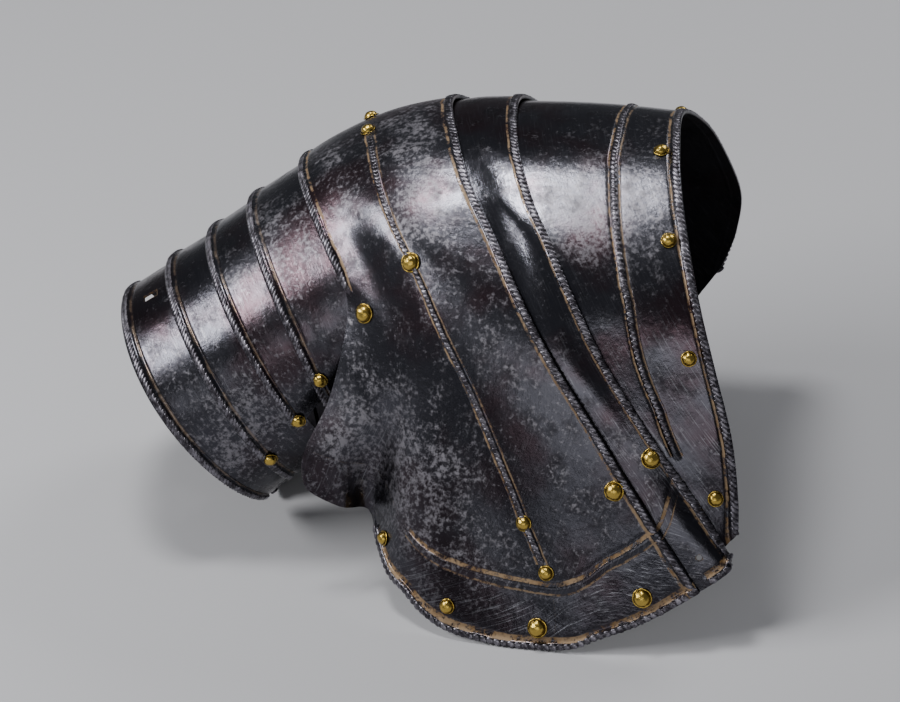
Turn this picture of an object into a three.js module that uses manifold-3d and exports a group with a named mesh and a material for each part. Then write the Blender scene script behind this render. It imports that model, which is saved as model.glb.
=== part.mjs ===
// Pauldron: shoulder defence of blackened steel with brass rivets.
//
// Frame while modelling: +X from the arm towards the neck, -Y the large wing, +Z up, millimetres.
// The finished piece is then turned as a whole so that it rests on its three low points at Z = 0.
//
// Two surfaces carry all the plates, each read with a lengthwise number `u` and a cross number:
//   arm tube,  u = 0 at the arm rim to 4 at the main plate's edge, and an angle from the crest;
//   collar,    u = 4 at the main plate's edge to 8 at the neck edge, and a station from -6 to 8.
import * as THREE from 'three';
import { mergeVertices } from 'three/addons/utils/BufferGeometryUtils.js';
import Module from 'manifold-3d';

// ---------------------------------------------------------------- driving dimensions
const WALL = 1.2; // thickness of every plate
const STEP = 2.2; // how far a lame lies inside the plate that laps over it
const LAP = 0.33; // hidden part of a lame, as a share of the distance between two ridges
const ROLL = [[0, 0.8], [1.3, 2.3], [3.7, 2.3], [5, 0]]; // distance from edge, height
const SHANK = 1.6; // rivet shank radius
const PLAY = 0.35; // clearance between a rivet and its plate
const RIVET_SIDES = 7;
const SEAT_SIDES = 12;
const ARM_LEAN = THREE.MathUtils.degToRad(31); // lean of the arm rings from upright

// Arm rings at the ridges: crest x and z, half width, half height, and two small bends.
const ARM_RINGS = [
  { x: -169, z: -105, wide: 63, deep: 63, waist: -4, bow: 5 },
  { x: -147, z: -88, wide: 66, deep: 64.5, waist: 1, bow: 0 },
  { x: -126, z: -72, wide: 69, deep: 67, waist: 1.5, bow: 0 },
  { x: -105, z: -55, wide: 72, deep: 69, waist: 3, bow: -7 },
  { x: -79, z: -35, wide: 75, deep: 71, waist: 9, bow: -12 },
];

// Lengthwise lines of the collar as [u, x, y, z]. A line that starts on the arm tube
// takes its first points from the tube, at the angle `ring`.
const COLLAR_LINES = [
  { points: [[4, -56, 78, -150], [4.3, -36, 76, -166], [5, 14, 96, -176], [5.5, 50, 103, -168],
    [6, 84, 103, -141], [7, 102, 99, -119], [8, 117, 94, -100]] },
  { ring: 88, points: [[4.35, -13, 88, -113], [5, 12, 98, -118], [6, 69, 105, -114],
    [7, 92, 99, -104], [8, 121, 92, -92]] },
  { ring: 68, points: [[5, -2, 91, -79], [6, 53, 98, -85], [7, 80, 96, -86], [8, 126, 88, -80]] },
  { ring: 52, points: [[5, -14, 82, -59], [6, 37, 83, -58], [7, 66, 86, -60], [8, 130, 80, -60]] },
  { ring: 38, points: [[5, -25, 66, -40], [6, 22, 67, -36], [7, 53, 71, -40], [8, 127, 62, -39]] },
  { ring: 21, points: [[5, -34, 40, -23], [6, 10, 43, -16], [7, 41, 46, -17], [8, 121, 38, -18]] },
  { ring: 0, points: [[5, -42, 0, -13], [6, -1, 0, -2], [7, 33, 0, -1], [7.5, 73, 0, -2],
    [8, 116, 0, -6]] },
  { ring: -21, points: [[5, -34, -40, -23], [6, 10, -43, -16], [7, 41, -46, -17],
    [8, 121, -38, -18]] },
  { ring: -38, points: [[5, -25, -66, -40], [6, 22, -67, -36], [7, 53, -71, -40],
    [8, 127, -62, -39]] },
  { ring: -52, points: [[5, -14, -82, -59], [6, 37, -83, -58], [7, 66, -86, -60],
    [8, 135, -80, -67]] },
  { ring: -68, points: [[5, -2, -91, -79], [6, 53, -98, -85], [7, 80, -96, -86],
    [8, 142, -89, -92]] },
  { ring: -88, points: [[4.35, -13, -88, -113], [5, 13, -99, -108], [6, 71, -106, -115],
    [7, 96, -100, -116], [8, 149, -92, -118]] },
  { points: [[4, -47, -80, -140], [4.35, -19, -84, -147], [4.6, 1, -94, -150],
    [5, 32, -102, -147], [6, 96, -107, -154], [7, 121, -102, -154], [8, 158, -93, -153]] },
  { points: [[4, -60, -80, -168], [4.2, -43, -78, -174], [4.35, -26, -70, -179],
    [4.5, -11, -84, -199], [4.7, 9, -96, -214], [5, 62, -103, -226], [5.5, 100, -106, -211],
    [6, 123, -107, -196], [7, 145, -97, -189], [8, 161, -91, -185]] },
  { points: [[4, -63, -76, -182], [4.1, -59, -76, -191], [4.2, -45, -71, -199],
    [4.35, -31, -60, -204], [4.42, -27, -66, -216], [4.5, -19, -78, -230], [4.6, -8, -86, -239],
    [4.7, 2, -91, -248], [4.8, 16, -96, -255], [4.9, 41, -100, -260], [5, 61, -102, -261],
    [5.4, 94, -104, -254], [5.8, 126, -104, -240], [6, 144, -103, -229], [7, 158, -93, -213],
    [8, 160, -89, -204]] },
];
const FAR_END = -6; // station of the first line
const NEAR_END = 8; // station of the last line

// How the finished piece lies: turned about Y, then about X, and set on the ground.
const REST_PITCH = THREE.MathUtils.degToRad(-0.249);
const REST_ROLL = THREE.MathUtils.degToRad(-23.206);

// ---------------------------------------------------------------- smooth line through points
// Cubic through `rows` at the places `knots`, carried on straight past both ends.
function through(knots, rows, t) {
  const last = knots.length - 1;
  const slopes = [];
  const chord = (i) => rows[i].map((_, k) => (rows[i + 1][k] - rows[i][k]) / (knots[i + 1] - knots[i]));
  for (let i = 1; i < last; i++) {
    const before = knots[i] - knots[i - 1];
    const after = knots[i + 1] - knots[i];
    const [c0, c1] = [chord(i - 1), chord(i)];
    slopes[i] = c0.map((c, k) => (c * after + c1[k] * before) / (before + after));
  }
  slopes[0] = chord(0).map((c, k) => 1.5 * c - 0.5 * slopes[1][k]);
  slopes[last] = chord(last - 1).map((c, k) => 1.5 * c - 0.5 * slopes[last - 1][k]);
  if (t <= knots[0]) return rows[0].map((r, k) => r + (t - knots[0]) * slopes[0][k]);
  if (t >= knots[last]) return rows[last].map((r, k) => r + (t - knots[last]) * slopes[last][k]);
  let i = 0;
  while (t > knots[i + 1]) i++;
  const width = knots[i + 1] - knots[i];
  const s = (t - knots[i]) / width;
  const [s2, s3] = [s * s, s * s * s];
  return rows[i].map((r, k) => (2 * s3 - 3 * s2 + 1) * r + (s3 - 2 * s2 + s) * width * slopes[i][k]
    + (3 * s2 - 2 * s3) * rows[i + 1][k] + (s3 - s2) * width * slopes[i + 1][k]);
}

// ---------------------------------------------------------------- the two carrying surfaces
const RING_KNOTS = ARM_RINGS.map((_, i) => i);
const RING_ROWS = ARM_RINGS.map((r) => [r.x, r.z, r.wide, r.deep, r.waist, r.bow]);

// Point of the arm tube; a negative angle lies on the near side.
function armTube(u, degrees) {
  const [x, z, wide, deep, waist, bow] = through(RING_KNOTS, RING_ROWS, u);
  const angle = THREE.MathUtils.degToRad(degrees);
  const drop = deep * (1 - Math.cos(angle));
  const bend = bow * (drop / 100) ** 2;
  return new THREE.Vector3(
    x + drop * Math.sin(ARM_LEAN) + bend * Math.cos(ARM_LEAN) + waist * Math.sin(angle) ** 2,
    wide * Math.sin(angle),
    z - drop * Math.cos(ARM_LEAN) + bend * Math.sin(ARM_LEAN),
  );
}

const MAIN_EDGE = 4; // u of the main plate's arm-side edge
const TUBE_TO = 4.35; // the main plate follows the arm tube up to here
const LINES = COLLAR_LINES.map((line) => {
  const onTube = [MAIN_EDGE, TUBE_TO].filter((u) => line.ring !== undefined && u < line.points[0][0]);
  const points = [...onTube.map((u) => [u, ...armTube(u, line.ring)]), ...line.points];
  return { knots: points.map((p) => p[0]), rows: points.map((p) => p.slice(1)) };
});
const STATIONS = LINES.map((_, i) => FAR_END + i);

// Point of the collar; a positive station lies on the near side.
function collar(u, station) {
  return new THREE.Vector3(...through(STATIONS, LINES.map((l) => through(l.knots, l.rows, u)), station));
}

// ---------------------------------------------------------------- a plate on a surface
const DELTA = 0.01;

function tangents(surface, u, v) {
  const alongU = surface(u + DELTA, v).sub(surface(u - DELTA, v)).divideScalar(2 * DELTA);
  const alongV = surface(u, v + DELTA).sub(surface(u, v - DELTA)).divideScalar(2 * DELTA);
  return [alongU, alongV];
}

function outward(surface, u, v) {
  const [alongU, alongV] = tangents(surface, u, v);
  const normal = alongU.cross(alongV).normalize();
  return surface === collar ? normal.negate() : normal;
}

// Closed thin solid over a grid of places. `place(i, j)` gives u, v and the height of the outer
// face above the surface; `sunk(u)` is how far the whole plate lies inside the surface.
function plate(surface, countU, countV, place, sunk) {
  const positions = [];
  const index = [];
  for (const face of [0, 1]) {
    for (let i = 0; i < countU; i++) {
      for (let j = 0; j < countV; j++) {
        const { u, v, height } = place(i, j);
        const offset = face === 0 ? height - sunk(u) : -WALL - sunk(u);
        positions.push(...surface(u, v).addScaledVector(outward(surface, u, v), offset));
      }
    }
  }
  const at = (face, i, j) => (face * countU + i) * countV + j;
  const quad = (a, b, c, d) => index.push(a, b, c, a, c, d);
  for (let i = 0; i < countU - 1; i++) {
    for (let j = 0; j < countV - 1; j++) {
      quad(at(0, i, j), at(0, i + 1, j), at(0, i + 1, j + 1), at(0, i, j + 1));
      quad(at(1, i, j), at(1, i, j + 1), at(1, i + 1, j + 1), at(1, i + 1, j));
    }
    quad(at(0, i, 0), at(1, i, 0), at(1, i + 1, 0), at(0, i + 1, 0));
    quad(at(0, i + 1, countV - 1), at(1, i + 1, countV - 1), at(1, i, countV - 1), at(0, i, countV - 1));
  }
  for (let j = 0; j < countV - 1; j++) {
    quad(at(0, 0, j + 1), at(1, 0, j + 1), at(1, 0, j), at(0, 0, j));
    quad(at(0, countU - 1, j), at(1, countU - 1, j), at(1, countU - 1, j + 1), at(0, countU - 1, j + 1));
  }
  if (surface === collar) index.reverse();
  const geometry = new THREE.BufferGeometry();
  geometry.setAttribute('position', new THREE.Float32BufferAttribute(positions, 3));
  geometry.setIndex(index);
  return geometry;
}

// u at `distance` millimetres from the line `edge`, measured across it at station v.
function across(surface, edge, v, distance, most = 0.15) {
  const inner = edge + (distance > 0 ? 0.02 : -0.02);
  const reach = tangents(surface, inner, v)[0].length();
  return edge + Math.sign(distance) * Math.min(Math.abs(distance) / reach, Math.abs(distance) * most);
}

// ---------------------------------------------------------------- solids and cutting
const wasm = await Module();
wasm.setup();

function toSolid(geometry) {
  const bare = geometry.clone();
  for (const name of ['normal', 'uv']) bare.deleteAttribute(name);
  const merged = mergeVertices(bare, 1e-4);
  return new wasm.Manifold(new wasm.Mesh({
    numProp: 3,
    vertProperties: new Float32Array(merged.attributes.position.array),
    triVerts: new Uint32Array(merged.index.array),
  }));
}

function toGeometry(solid) {
  const mesh = solid.getMesh();
  const geometry = new THREE.BufferGeometry();
  geometry.setAttribute('position', new THREE.BufferAttribute(new Float32Array(mesh.vertProperties), 3));
  geometry.setIndex(new THREE.BufferAttribute(new Uint32Array(mesh.triVerts), 1));
  return geometry;
}

// Turns a shape made about +Y so that +Y becomes `normal`, and moves it to `centre`.
function seat(geometry, centre, normal) {
  const turn = new THREE.Quaternion().setFromUnitVectors(new THREE.Vector3(0, 1, 0), normal);
  return geometry.applyQuaternion(turn).translate(...centre);
}

// ---------------------------------------------------------------- plates
// Each plate runs from `tucked`, its hidden edge, to `edge`, its rolled edge. On the arm,
// `end` gives the angle at which it stops, from the rolled edge to the hidden one.
const END = (from, to) => (share) => from + (to - from) * share;
const PLATES = {
  main_plate: { surface: collar, edge: 6, tucked: MAIN_EDGE },
  neck_lame_1: { surface: collar, edge: 7, tucked: 6 - LAP },
  neck_lame_2: { surface: collar, edge: 8, tucked: 7 - LAP, lastStation: 7.75 },
  arm_lame_1: { surface: armTube, edge: 3, tucked: 4 + LAP, end: END(122, 106) },
  arm_lame_2: { surface: armTube, edge: 2, tucked: 3 + LAP, end: END(127, 119) },
  arm_lame_3: { surface: armTube, edge: 1, tucked: 2 + LAP, end: END(160, 160) },
  arm_lame_4: { surface: armTube, edge: 0, tucked: 1 + LAP, end: END(174, 174) },
};
const isMain = (spec) => spec.tucked === MAIN_EDGE;
const depth = (spec, u) => (isMain(spec) ? 0 : STEP * Math.abs(spec.edge - u));

const FAR_STATIONS = [-6, -5.5, -5, -4.4, -3.7, -3, -2.3, -1.7, -1.1, -0.5];
const NEAR_STATIONS = [0, 0.6, 1.2, 1.8, 2.4, 3, 3.7, 4.4, 5, 5.6, 6.3, 7, 7.5];
const BOTTOM_ROLL = [[0.14, 0], [0.11, 2], [0.04, 2.2], [0, 0.8]];
const WING_FROM = 4.38; // u where the wing's rolled bottom edge begins
const BARE = 0.1; // a lame's own bottom roll starts this far out from under its neighbour

function collarPlate(spec) {
  const neckRoll = ROLL.toReversed().map(([d, height]) => ({ edge: spec.edge, d: -d, height }));
  const lapped = spec.edge - 1;
  let rows = [spec.tucked, lapped, lapped + BARE, lapped + 0.4].map((u) => ({ u, height: 0 }));
  if (isMain(spec)) {
    const armRoll = ROLL.map(([d, height]) => ({ edge: MAIN_EDGE, d, height, plainBelow: true }));
    const plain = [4.35, 4.42, 4.5, 4.6, 4.75, 4.9, 5.1, 5.4, 5.7];
    rows = [...armRoll, ...plain.map((u) => ({ u, height: 0 }))];
  }
  rows.push(...neckRoll);
  const stations = [...FAR_STATIONS, ...NEAR_STATIONS].map((v) => ({ v, height: 0 }));
  const bottom = BOTTOM_ROLL.map(([back, height]) => ({ v: NEAR_END - back, height }));
  stations.push(...(spec.lastStation ? [{ v: spec.lastStation, height: 0 }] : bottom));
  const place = (i, j) => {
    const row = rows[i];
    const station = stations[j];
    const u = row.u ?? across(collar, row.edge, station.v, row.d);
    const isRolled = !(row.plainBelow && Math.abs(station.v) > 4.6);
    const onWing = u >= (isMain(spec) ? WING_FROM : lapped + BARE) ? station.height : 0;
    return { u, v: station.v, height: Math.max(isRolled ? row.height : 0, onWing) };
  };
  return plate(collar, rows.length, stations.length, place, (u) => depth(spec, u));
}

const ARM_STEPS = 24; // divisions round an arm lame

function armPlate(spec) {
  const rows = ROLL.map(([d, height]) => ({ d, height }));
  for (const share of [0.5, 1]) {
    rows.push({ u: spec.edge + (spec.tucked - spec.edge) * share, height: 0 });
  }
  const place = (i, j) => {
    const row = rows[i];
    const side = (2 * j) / ARM_STEPS - 1;
    const u = row.u ?? across(armTube, spec.edge, 0, row.d);
    const reach = spec.end((u - spec.edge) / (spec.tucked - spec.edge));
    return { u, v: side * reach, height: row.height };
  };
  return plate(armTube, rows.length, ARM_STEPS + 1, place, (u) => depth(spec, u));
}

// ---------------------------------------------------------------- rivets
// [name, plate it stands on, u, station or angle, radius of the head, plates it holds]
const BIG = 4.2;
const SMALL = 3.3;
const RIVETS = [
  ['neck_pivot_1_near', 'main_plate', 5.79, 6.53, BIG, 2],
  ['neck_pivot_1_far', 'main_plate', 5.79, -5.3, BIG, 2],
  ['neck_pivot_2_near', 'neck_lame_1', 6.7, 6.22, BIG, 2],
  ['neck_pivot_2_far', 'neck_lame_1', 6.7, -5.2, BIG, 2],
  ['arm_pivot_1_near', 'main_plate', 4.13, 4.88, BIG, 2],
  ['arm_pivot_1_far', 'main_plate', 4.13, -4.88, BIG, 2],
  ['crest_rivet_1', 'main_plate', 4.96, 0.52, SMALL, 1],
  ['crest_rivet_2', 'main_plate', 4.93, -0.12, SMALL, 1],
  ['cord_rivet_1', 'main_plate', 5.04, 3.63, BIG, 1],
  ['cord_rivet_2', 'main_plate', 5.03, 6.62, SMALL, 1],
  ['cord_rivet_3', 'main_plate', 5.05, 6.93, SMALL, 1],
  ['cord_rivet_4', 'main_plate', 5.04, -3.63, BIG, 1],
  ['wing_rivet_1', 'main_plate', 4.45, 7.7, SMALL, 1],
  ['wing_rivet_2', 'main_plate', 4.77, 7.61, SMALL, 1],
  ['wing_rivet_3', 'main_plate', 4.99, 7.58, BIG, 1],
  ['wing_rivet_4', 'main_plate', 5.68, 7.65, BIG, 1],
  ['wing_rivet_5', 'main_plate', 4.5, -5.6, SMALL, 1],
  ['wing_rivet_6', 'main_plate', 5.1, -5.6, SMALL, 1],
  ['neck_rivet_1', 'neck_lame_2', 7.9, 1.07, SMALL, 1],
  ['neck_rivet_2', 'neck_lame_2', 7.88, 2.7, SMALL, 1],
  ['neck_rivet_3', 'neck_lame_2', 7.81, 4.88, SMALL, 1],
  ['neck_rivet_4', 'neck_lame_2', 7.41, 6.87, SMALL, 1],
  ['neck_rivet_5', 'neck_lame_2', 7.92, -0.49, SMALL, 1],
  ['neck_rivet_6', 'neck_lame_2', 7.88, -2.2, SMALL, 1],
  ['neck_rivet_7', 'neck_lame_2', 7.84, -3.8, SMALL, 1],
  ...[[2, 3.16, 111], [3, 2.16, 123], [4, 1.16, 136]].flatMap(([count, u, angle]) => [
    [`arm_pivot_${count}_near`, `arm_lame_${count - 1}`, u, -angle, SMALL, 2],
    [`arm_pivot_${count}_far`, `arm_lame_${count - 1}`, u, angle, SMALL, 2],
  ]),
];
const WASHER = 0.8; // thickness of the washer under the head
const WASHER_SPREAD = 1.3; // its radius, as a share of the head's
const GAP = 0.3; // between the washer or the burr and the plates
const BURR = 2.6; // radius of the hammered inner end
const SEAT_DEPTH = 6; // how much room is cleared above a washer's seat and under a burr's
const SKIM = 0.05; // left on the plate when a seat is levelled
const DRILL_LENGTH = 14;

const seats = RIVETS.map(([name, plateName, u, v, head, layers]) => {
  const spec = PLATES[plateName];
  const normal = outward(spec.surface, u, v);
  const centre = spec.surface(u, v).addScaledVector(normal, -depth(spec, u));
  const under = spec.surface === collar && u > TUBE_TO ? spec.edge + 1 : Math.floor(u) - 1;
  const held = layers === 1 ? 0 : STEP * Math.abs(under - u) - depth(spec, u);
  return { name, plateName, head, layers, normal, centre, inside: -WALL - held };
});

function rivet({ head, inside, normal, centre }) {
  const foot = inside - GAP;
  const washer = head * WASHER_SPREAD;
  const top = GAP + WASHER;
  const profile = [[0, foot - 0.9], [BURR, foot - 0.6], [BURR, foot], [SHANK, foot],
    [SHANK, GAP], [washer, GAP], [washer, top], [head * 0.85, top + head * 0.42],
    [0, top + head * 0.75]].map((p) => new THREE.Vector2(...p));
  return seat(new THREE.LatheGeometry(profile, RIVET_SIDES), centre, normal);
}

// Holes for the shank, and level seats for the washer outside and the burr inside.
function drilled(geometry, plateName) {
  let solid = toSolid(geometry);
  for (const { head, layers, normal, centre, inside, plateName: on } of seats) {
    if (on !== plateName && layers === 1) continue;
    const cut = (radius, from, to, sides) => {
      const cylinder = new THREE.CylinderGeometry(radius, radius, to - from, sides);
      cylinder.translate(0, (from + to) / 2, 0);
      solid = solid.subtract(toSolid(seat(cylinder, centre, normal)));
    };
    cut(SHANK + PLAY, inside - SEAT_DEPTH, SEAT_DEPTH, RIVET_SIDES);
    cut(BURR + GAP, inside - SEAT_DEPTH, inside - SKIM, SEAT_SIDES);
    if (on === plateName) cut(head * WASHER_SPREAD + GAP, SKIM, SEAT_DEPTH, SEAT_SIDES);
  }
  return solid;
}

// Lacing slot near the arm rim, and a small hole at the wing's lower corner.
const SLOT = { u: 0.61, angle: -30, long: 8, wide: 5 };
const CORNER_HOLE = { u: 6.17, station: 7.6, radius: 1.5 };

function cutSlot(solid) {
  const { u, angle, long, wide } = SLOT;
  const normal = outward(armTube, u, angle);
  const lengthwise = tangents(armTube, u, angle)[0].projectOnPlane(normal).normalize();
  const place = new THREE.Matrix4();
  place.makeBasis(lengthwise, normal, lengthwise.clone().cross(normal));
  place.setPosition(armTube(u, angle));
  const cutter = new THREE.BoxGeometry(long, DRILL_LENGTH, wide);
  return solid.subtract(toSolid(cutter.applyMatrix4(place)));
}

function cutCornerHole(solid) {
  const { u, station, radius } = CORNER_HOLE;
  const cutter = new THREE.CylinderGeometry(radius, radius, DRILL_LENGTH, RIVET_SIDES);
  return solid.subtract(toSolid(seat(cutter, collar(u, station), outward(collar, u, station))));
}

// ---------------------------------------------------------------- the assembly
const steel = new THREE.MeshStandardMaterial({ color: 0x34333a, roughness: 0.42, metalness: 0.9 });
const brass = new THREE.MeshStandardMaterial({ color: 0xb8923c, roughness: 0.32, metalness: 1 });
const turned = new THREE.Group();

function addPiece(name, solid, material) {
  const geometry = toGeometry(solid);
  geometry.computeVertexNormals();
  const mesh = new THREE.Mesh(geometry, material.clone());
  mesh.name = name;
  turned.add(mesh);
}

for (const [name, spec] of Object.entries(PLATES)) {
  let solid = drilled(spec.surface === collar ? collarPlate(spec) : armPlate(spec), name);
  if (name === 'arm_lame_4') solid = cutSlot(solid);
  if (name === 'neck_lame_1') solid = cutCornerHole(solid);
  addPiece(name, solid, steel);
}
for (const place of seats) addPiece(place.name, toSolid(rivet(place)), brass);

turned.rotation.set(REST_ROLL, REST_PITCH, 0, 'XYZ');
turned.updateMatrixWorld(true);
const extent = new THREE.Box3().setFromObject(turned, true);
const middle = extent.getCenter(new THREE.Vector3());
turned.position.set(-middle.x, -middle.y, -extent.min.z);
const pauldron = new THREE.Group();
pauldron.add(turned);

export default pauldron;
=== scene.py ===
import math

import bpy
import numpy as np
from mathutils import Matrix, Vector


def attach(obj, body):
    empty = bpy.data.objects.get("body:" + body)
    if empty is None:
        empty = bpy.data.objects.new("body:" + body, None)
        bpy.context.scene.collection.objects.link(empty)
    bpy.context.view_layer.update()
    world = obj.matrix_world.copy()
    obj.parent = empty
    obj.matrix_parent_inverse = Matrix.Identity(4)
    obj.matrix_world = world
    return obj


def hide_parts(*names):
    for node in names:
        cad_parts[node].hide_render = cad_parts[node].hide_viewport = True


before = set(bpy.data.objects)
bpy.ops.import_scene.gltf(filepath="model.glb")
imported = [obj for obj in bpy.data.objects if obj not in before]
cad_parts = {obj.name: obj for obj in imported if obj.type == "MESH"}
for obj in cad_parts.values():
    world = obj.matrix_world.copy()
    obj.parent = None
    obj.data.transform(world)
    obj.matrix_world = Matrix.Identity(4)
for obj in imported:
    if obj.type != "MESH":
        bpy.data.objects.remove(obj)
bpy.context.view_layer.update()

# ---------------------------------------------------------------- arm lames
# Four hoops of thin sheet steel over the upper arm, each tucked under the next one up.
# Each is hammered round to an oval, and its lower edge is turned over a wire and roped
# with a chisel; the finish is a fire black, rubbed and stained with age.
WALL = 1.2  # thickness of the sheet, millimetres
STEP = 2.2  # how far a lame lies inside the plate that laps over it
LAP = 0.33  # hidden part of a lame, as a share of the distance between two edges
ARM_LEAN = math.radians(31)  # lean of the arm hoops from upright
ARM_RINGS = [  # crest x and z, half width, half height, and two small bends
    (-169, -105, 63, 63, -4, 5),
    (-147, -88, 66, 64.5, 1, 0),
    (-126, -72, 69, 67, 1.5, 0),
    (-105, -55, 72, 69, 3, -7),
    (-79, -35, 75, 71, 9, -12),
]
ARM_LAMES = {  # edge, angle where it stops at the edge and at the hidden side
    "arm_lame_1": (3, 122, 106),
    "arm_lame_2": (2, 127, 119),
    "arm_lame_3": (1, 160, 160),
    "arm_lame_4": (0, 174, 174),
}
REST_PITCH = math.radians(-0.249)  # how the finished piece lies on its three low points
REST_ROLL = math.radians(-23.206)
REST_TURN = Matrix.Rotation(REST_ROLL, 3, "X") @ Matrix.Rotation(REST_PITCH, 3, "Y")
REST_PLACE = Vector((3.2755, 70.253, 199.8497))  # where the crest point comes to lie, millimetres
TINY = 0.01
FAR_OFF = 40.0  # distance stored where a plate has no such line


def through(knots, rows, t):
    """Smooth line through the rows at the places `knots`, carried on straight past both ends."""
    knots, rows, t = (np.asarray(a, float) for a in (knots, rows, t))
    gaps = np.diff(knots)[:, None]
    chords = np.diff(rows, axis=0) / gaps
    slopes = np.empty_like(rows)
    slopes[1:-1] = (chords[:-1] * gaps[1:] + chords[1:] * gaps[:-1]) / (gaps[1:] + gaps[:-1])
    slopes[0] = 1.5 * chords[0] - 0.5 * slopes[1]
    slopes[-1] = 1.5 * chords[-1] - 0.5 * slopes[-2]
    i = np.clip(np.searchsorted(knots, t.ravel(), side="right") - 1, 0, len(knots) - 2)
    width = gaps[i]
    place = (t.ravel() - knots[i])[:, None] / width
    s = np.clip(place, 0, 1)
    point = (2 * s**3 - 3 * s**2 + 1) * rows[i] + (s**3 - 2 * s**2 + s) * width * slopes[i]
    point += (3 * s**2 - 2 * s**3) * rows[i + 1] + (s**3 - s**2) * width * slopes[i + 1]
    point += (place - s) * width * np.where(place < 0, slopes[i], slopes[i + 1])
    return point.reshape(t.shape + (rows.shape[1],))


def arm_tube(u, degrees):
    """Point of the arm's carrying surface; a negative angle lies on the near side."""
    u, degrees = np.broadcast_arrays(np.asarray(u, float), np.asarray(degrees, float))
    rings = through(range(5), ARM_RINGS, u)
    x, z, wide, deep, waist, bow = np.moveaxis(rings, -1, 0)
    angle = np.radians(degrees)
    drop = deep * (1 - np.cos(angle))
    bend = bow * (drop / 100) ** 2
    return np.stack([
        x + drop * math.sin(ARM_LEAN) + bend * math.cos(ARM_LEAN) + waist * np.sin(angle) ** 2,
        wide * np.sin(angle),
        z - drop * math.cos(ARM_LEAN) + bend * math.sin(ARM_LEAN),
    ], -1)


def reach_along(surface, u, v):
    """Millimetres per unit of u."""
    return np.linalg.norm(surface(u + TINY, v) - surface(u - TINY, v), axis=-1) / (2 * TINY)


def reach_across(surface, u, v):
    """Millimetres per unit of v."""
    return np.linalg.norm(surface(u, v + TINY) - surface(u, v - TINY), axis=-1) / (2 * TINY)


def outward(surface, u, v):
    """Unit normal that points out of the shell."""
    along = surface(u + TINY, v) - surface(u - TINY, v)
    round_it = surface(u, v + TINY) - surface(u, v - TINY)
    normal = np.cross(along, round_it)
    normal /= np.linalg.norm(normal, axis=-1, keepdims=True)
    return normal if surface is arm_tube else -normal


def at_rest(points):
    """Turns modelling-frame millimetres into the resting piece's metres."""
    turn = np.array(REST_TURN)
    return (np.asarray(points) @ turn.T + np.array(REST_PLACE)) / 1000


def hump(distance, centre, half_width, height):
    """Half-round bar across an edge."""
    inside = 1 - ((distance - centre) / half_width) ** 2
    return height * np.sqrt(np.clip(inside, 0, 1))


def groove(distance, centre, half_width, depth):
    """Soft sunk line."""
    return -depth * np.exp(-(((distance - centre) / half_width) ** 2))


# Distances from a turned edge, in millimetres, at which a plate has a row of points.
EDGE_ROWS = np.array([0, 0.12, 0.4, 0.85, 1.4, 2.1, 2.8, 3.4, 3.9, 4.25, 4.5, 4.9, 5.3, 5.7, 6.1,
                      6.6, 7.2, 8, 9.2])
ROLL_MIDDLE = 2.25
ROLL_HALF = 2.3
ROLL_HEIGHT = 1.05
LINE_AT = 5.6  # sunk line beside the roll
LINE_HALF = 0.75


def turned_edge(distance):
    """Height of the roll at an edge and of the sunk line beside it."""
    return hump(distance, ROLL_MIDDLE, ROLL_HALF, ROLL_HEIGHT) + groove(
        distance, LINE_AT, LINE_HALF, 0.45)


def plate_mesh(name, surface, u, v, height, sunk, distances, swap=False):
    """Closed sheet over a grid of places, with its line distances kept as attributes."""
    normal = outward(surface, u, v)
    base = surface(u, v)
    rows, columns = u.shape
    outer = base + normal * (height - sunk)[..., None]
    inner = base + normal * (-WALL - sunk + np.clip(height, -0.3, 0))[..., None]
    points = at_rest(np.concatenate([outer.reshape(-1, 3), inner.reshape(-1, 3)]))
    grid = np.arange(rows * columns).reshape(rows, columns)
    under = grid + rows * columns

    def quads(a, b, c, d):
        return np.stack([a.ravel(), b.ravel(), c.ravel(), d.ravel()], 1)

    faces = [
        quads(grid[:-1, :-1], grid[1:, :-1], grid[1:, 1:], grid[:-1, 1:]),
        quads(under[:-1, :-1], under[:-1, 1:], under[1:, 1:], under[1:, :-1]),
        quads(grid[:-1, 0], under[:-1, 0], under[1:, 0], grid[1:, 0]),
        quads(grid[1:, -1], under[1:, -1], under[:-1, -1], grid[:-1, -1]),
        quads(grid[0, 1:], under[0, 1:], under[0, :-1], grid[0, :-1]),
        quads(grid[-1, :-1], under[-1, :-1], under[-1, 1:], grid[-1, 1:]),
    ]
    faces = np.concatenate(faces)
    if swap:
        faces = faces[:, ::-1]
    mesh = bpy.data.meshes.new(name)
    mesh.from_pydata(points.tolist(), [], faces.tolist())
    mesh.polygons.foreach_set("use_smooth", [True] * len(faces))
    mesh.set_sharp_from_angle(angle=math.radians(50))
    inside = np.concatenate([np.zeros(rows * columns), np.ones(rows * columns)])
    for key, values in {**distances, "inside": None}.items():
        layer = mesh.attributes.new(key, "FLOAT", "POINT")
        both = inside if values is None else np.tile(np.broadcast_to(values, u.shape).ravel(), 2)
        layer.data.foreach_set("value", both.astype(np.float32))
    along = np.cumsum(np.linalg.norm(np.diff(base, axis=0, prepend=base[:1]), axis=-1), axis=0)
    around = np.cumsum(np.linalg.norm(np.diff(base, axis=1, prepend=base[:, :1]), axis=-1), axis=1)
    corners = np.stack([along, around], -1).reshape(-1, 2) / 1000
    corners = np.concatenate([corners, corners])
    wrap = mesh.uv_layers.new(name="wrap")
    wrap.data.foreach_set("uv", corners[faces.ravel()].astype(np.float32).ravel())
    piece = bpy.data.objects.new(name, mesh)
    bpy.context.scene.collection.objects.link(piece)
    return piece


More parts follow.
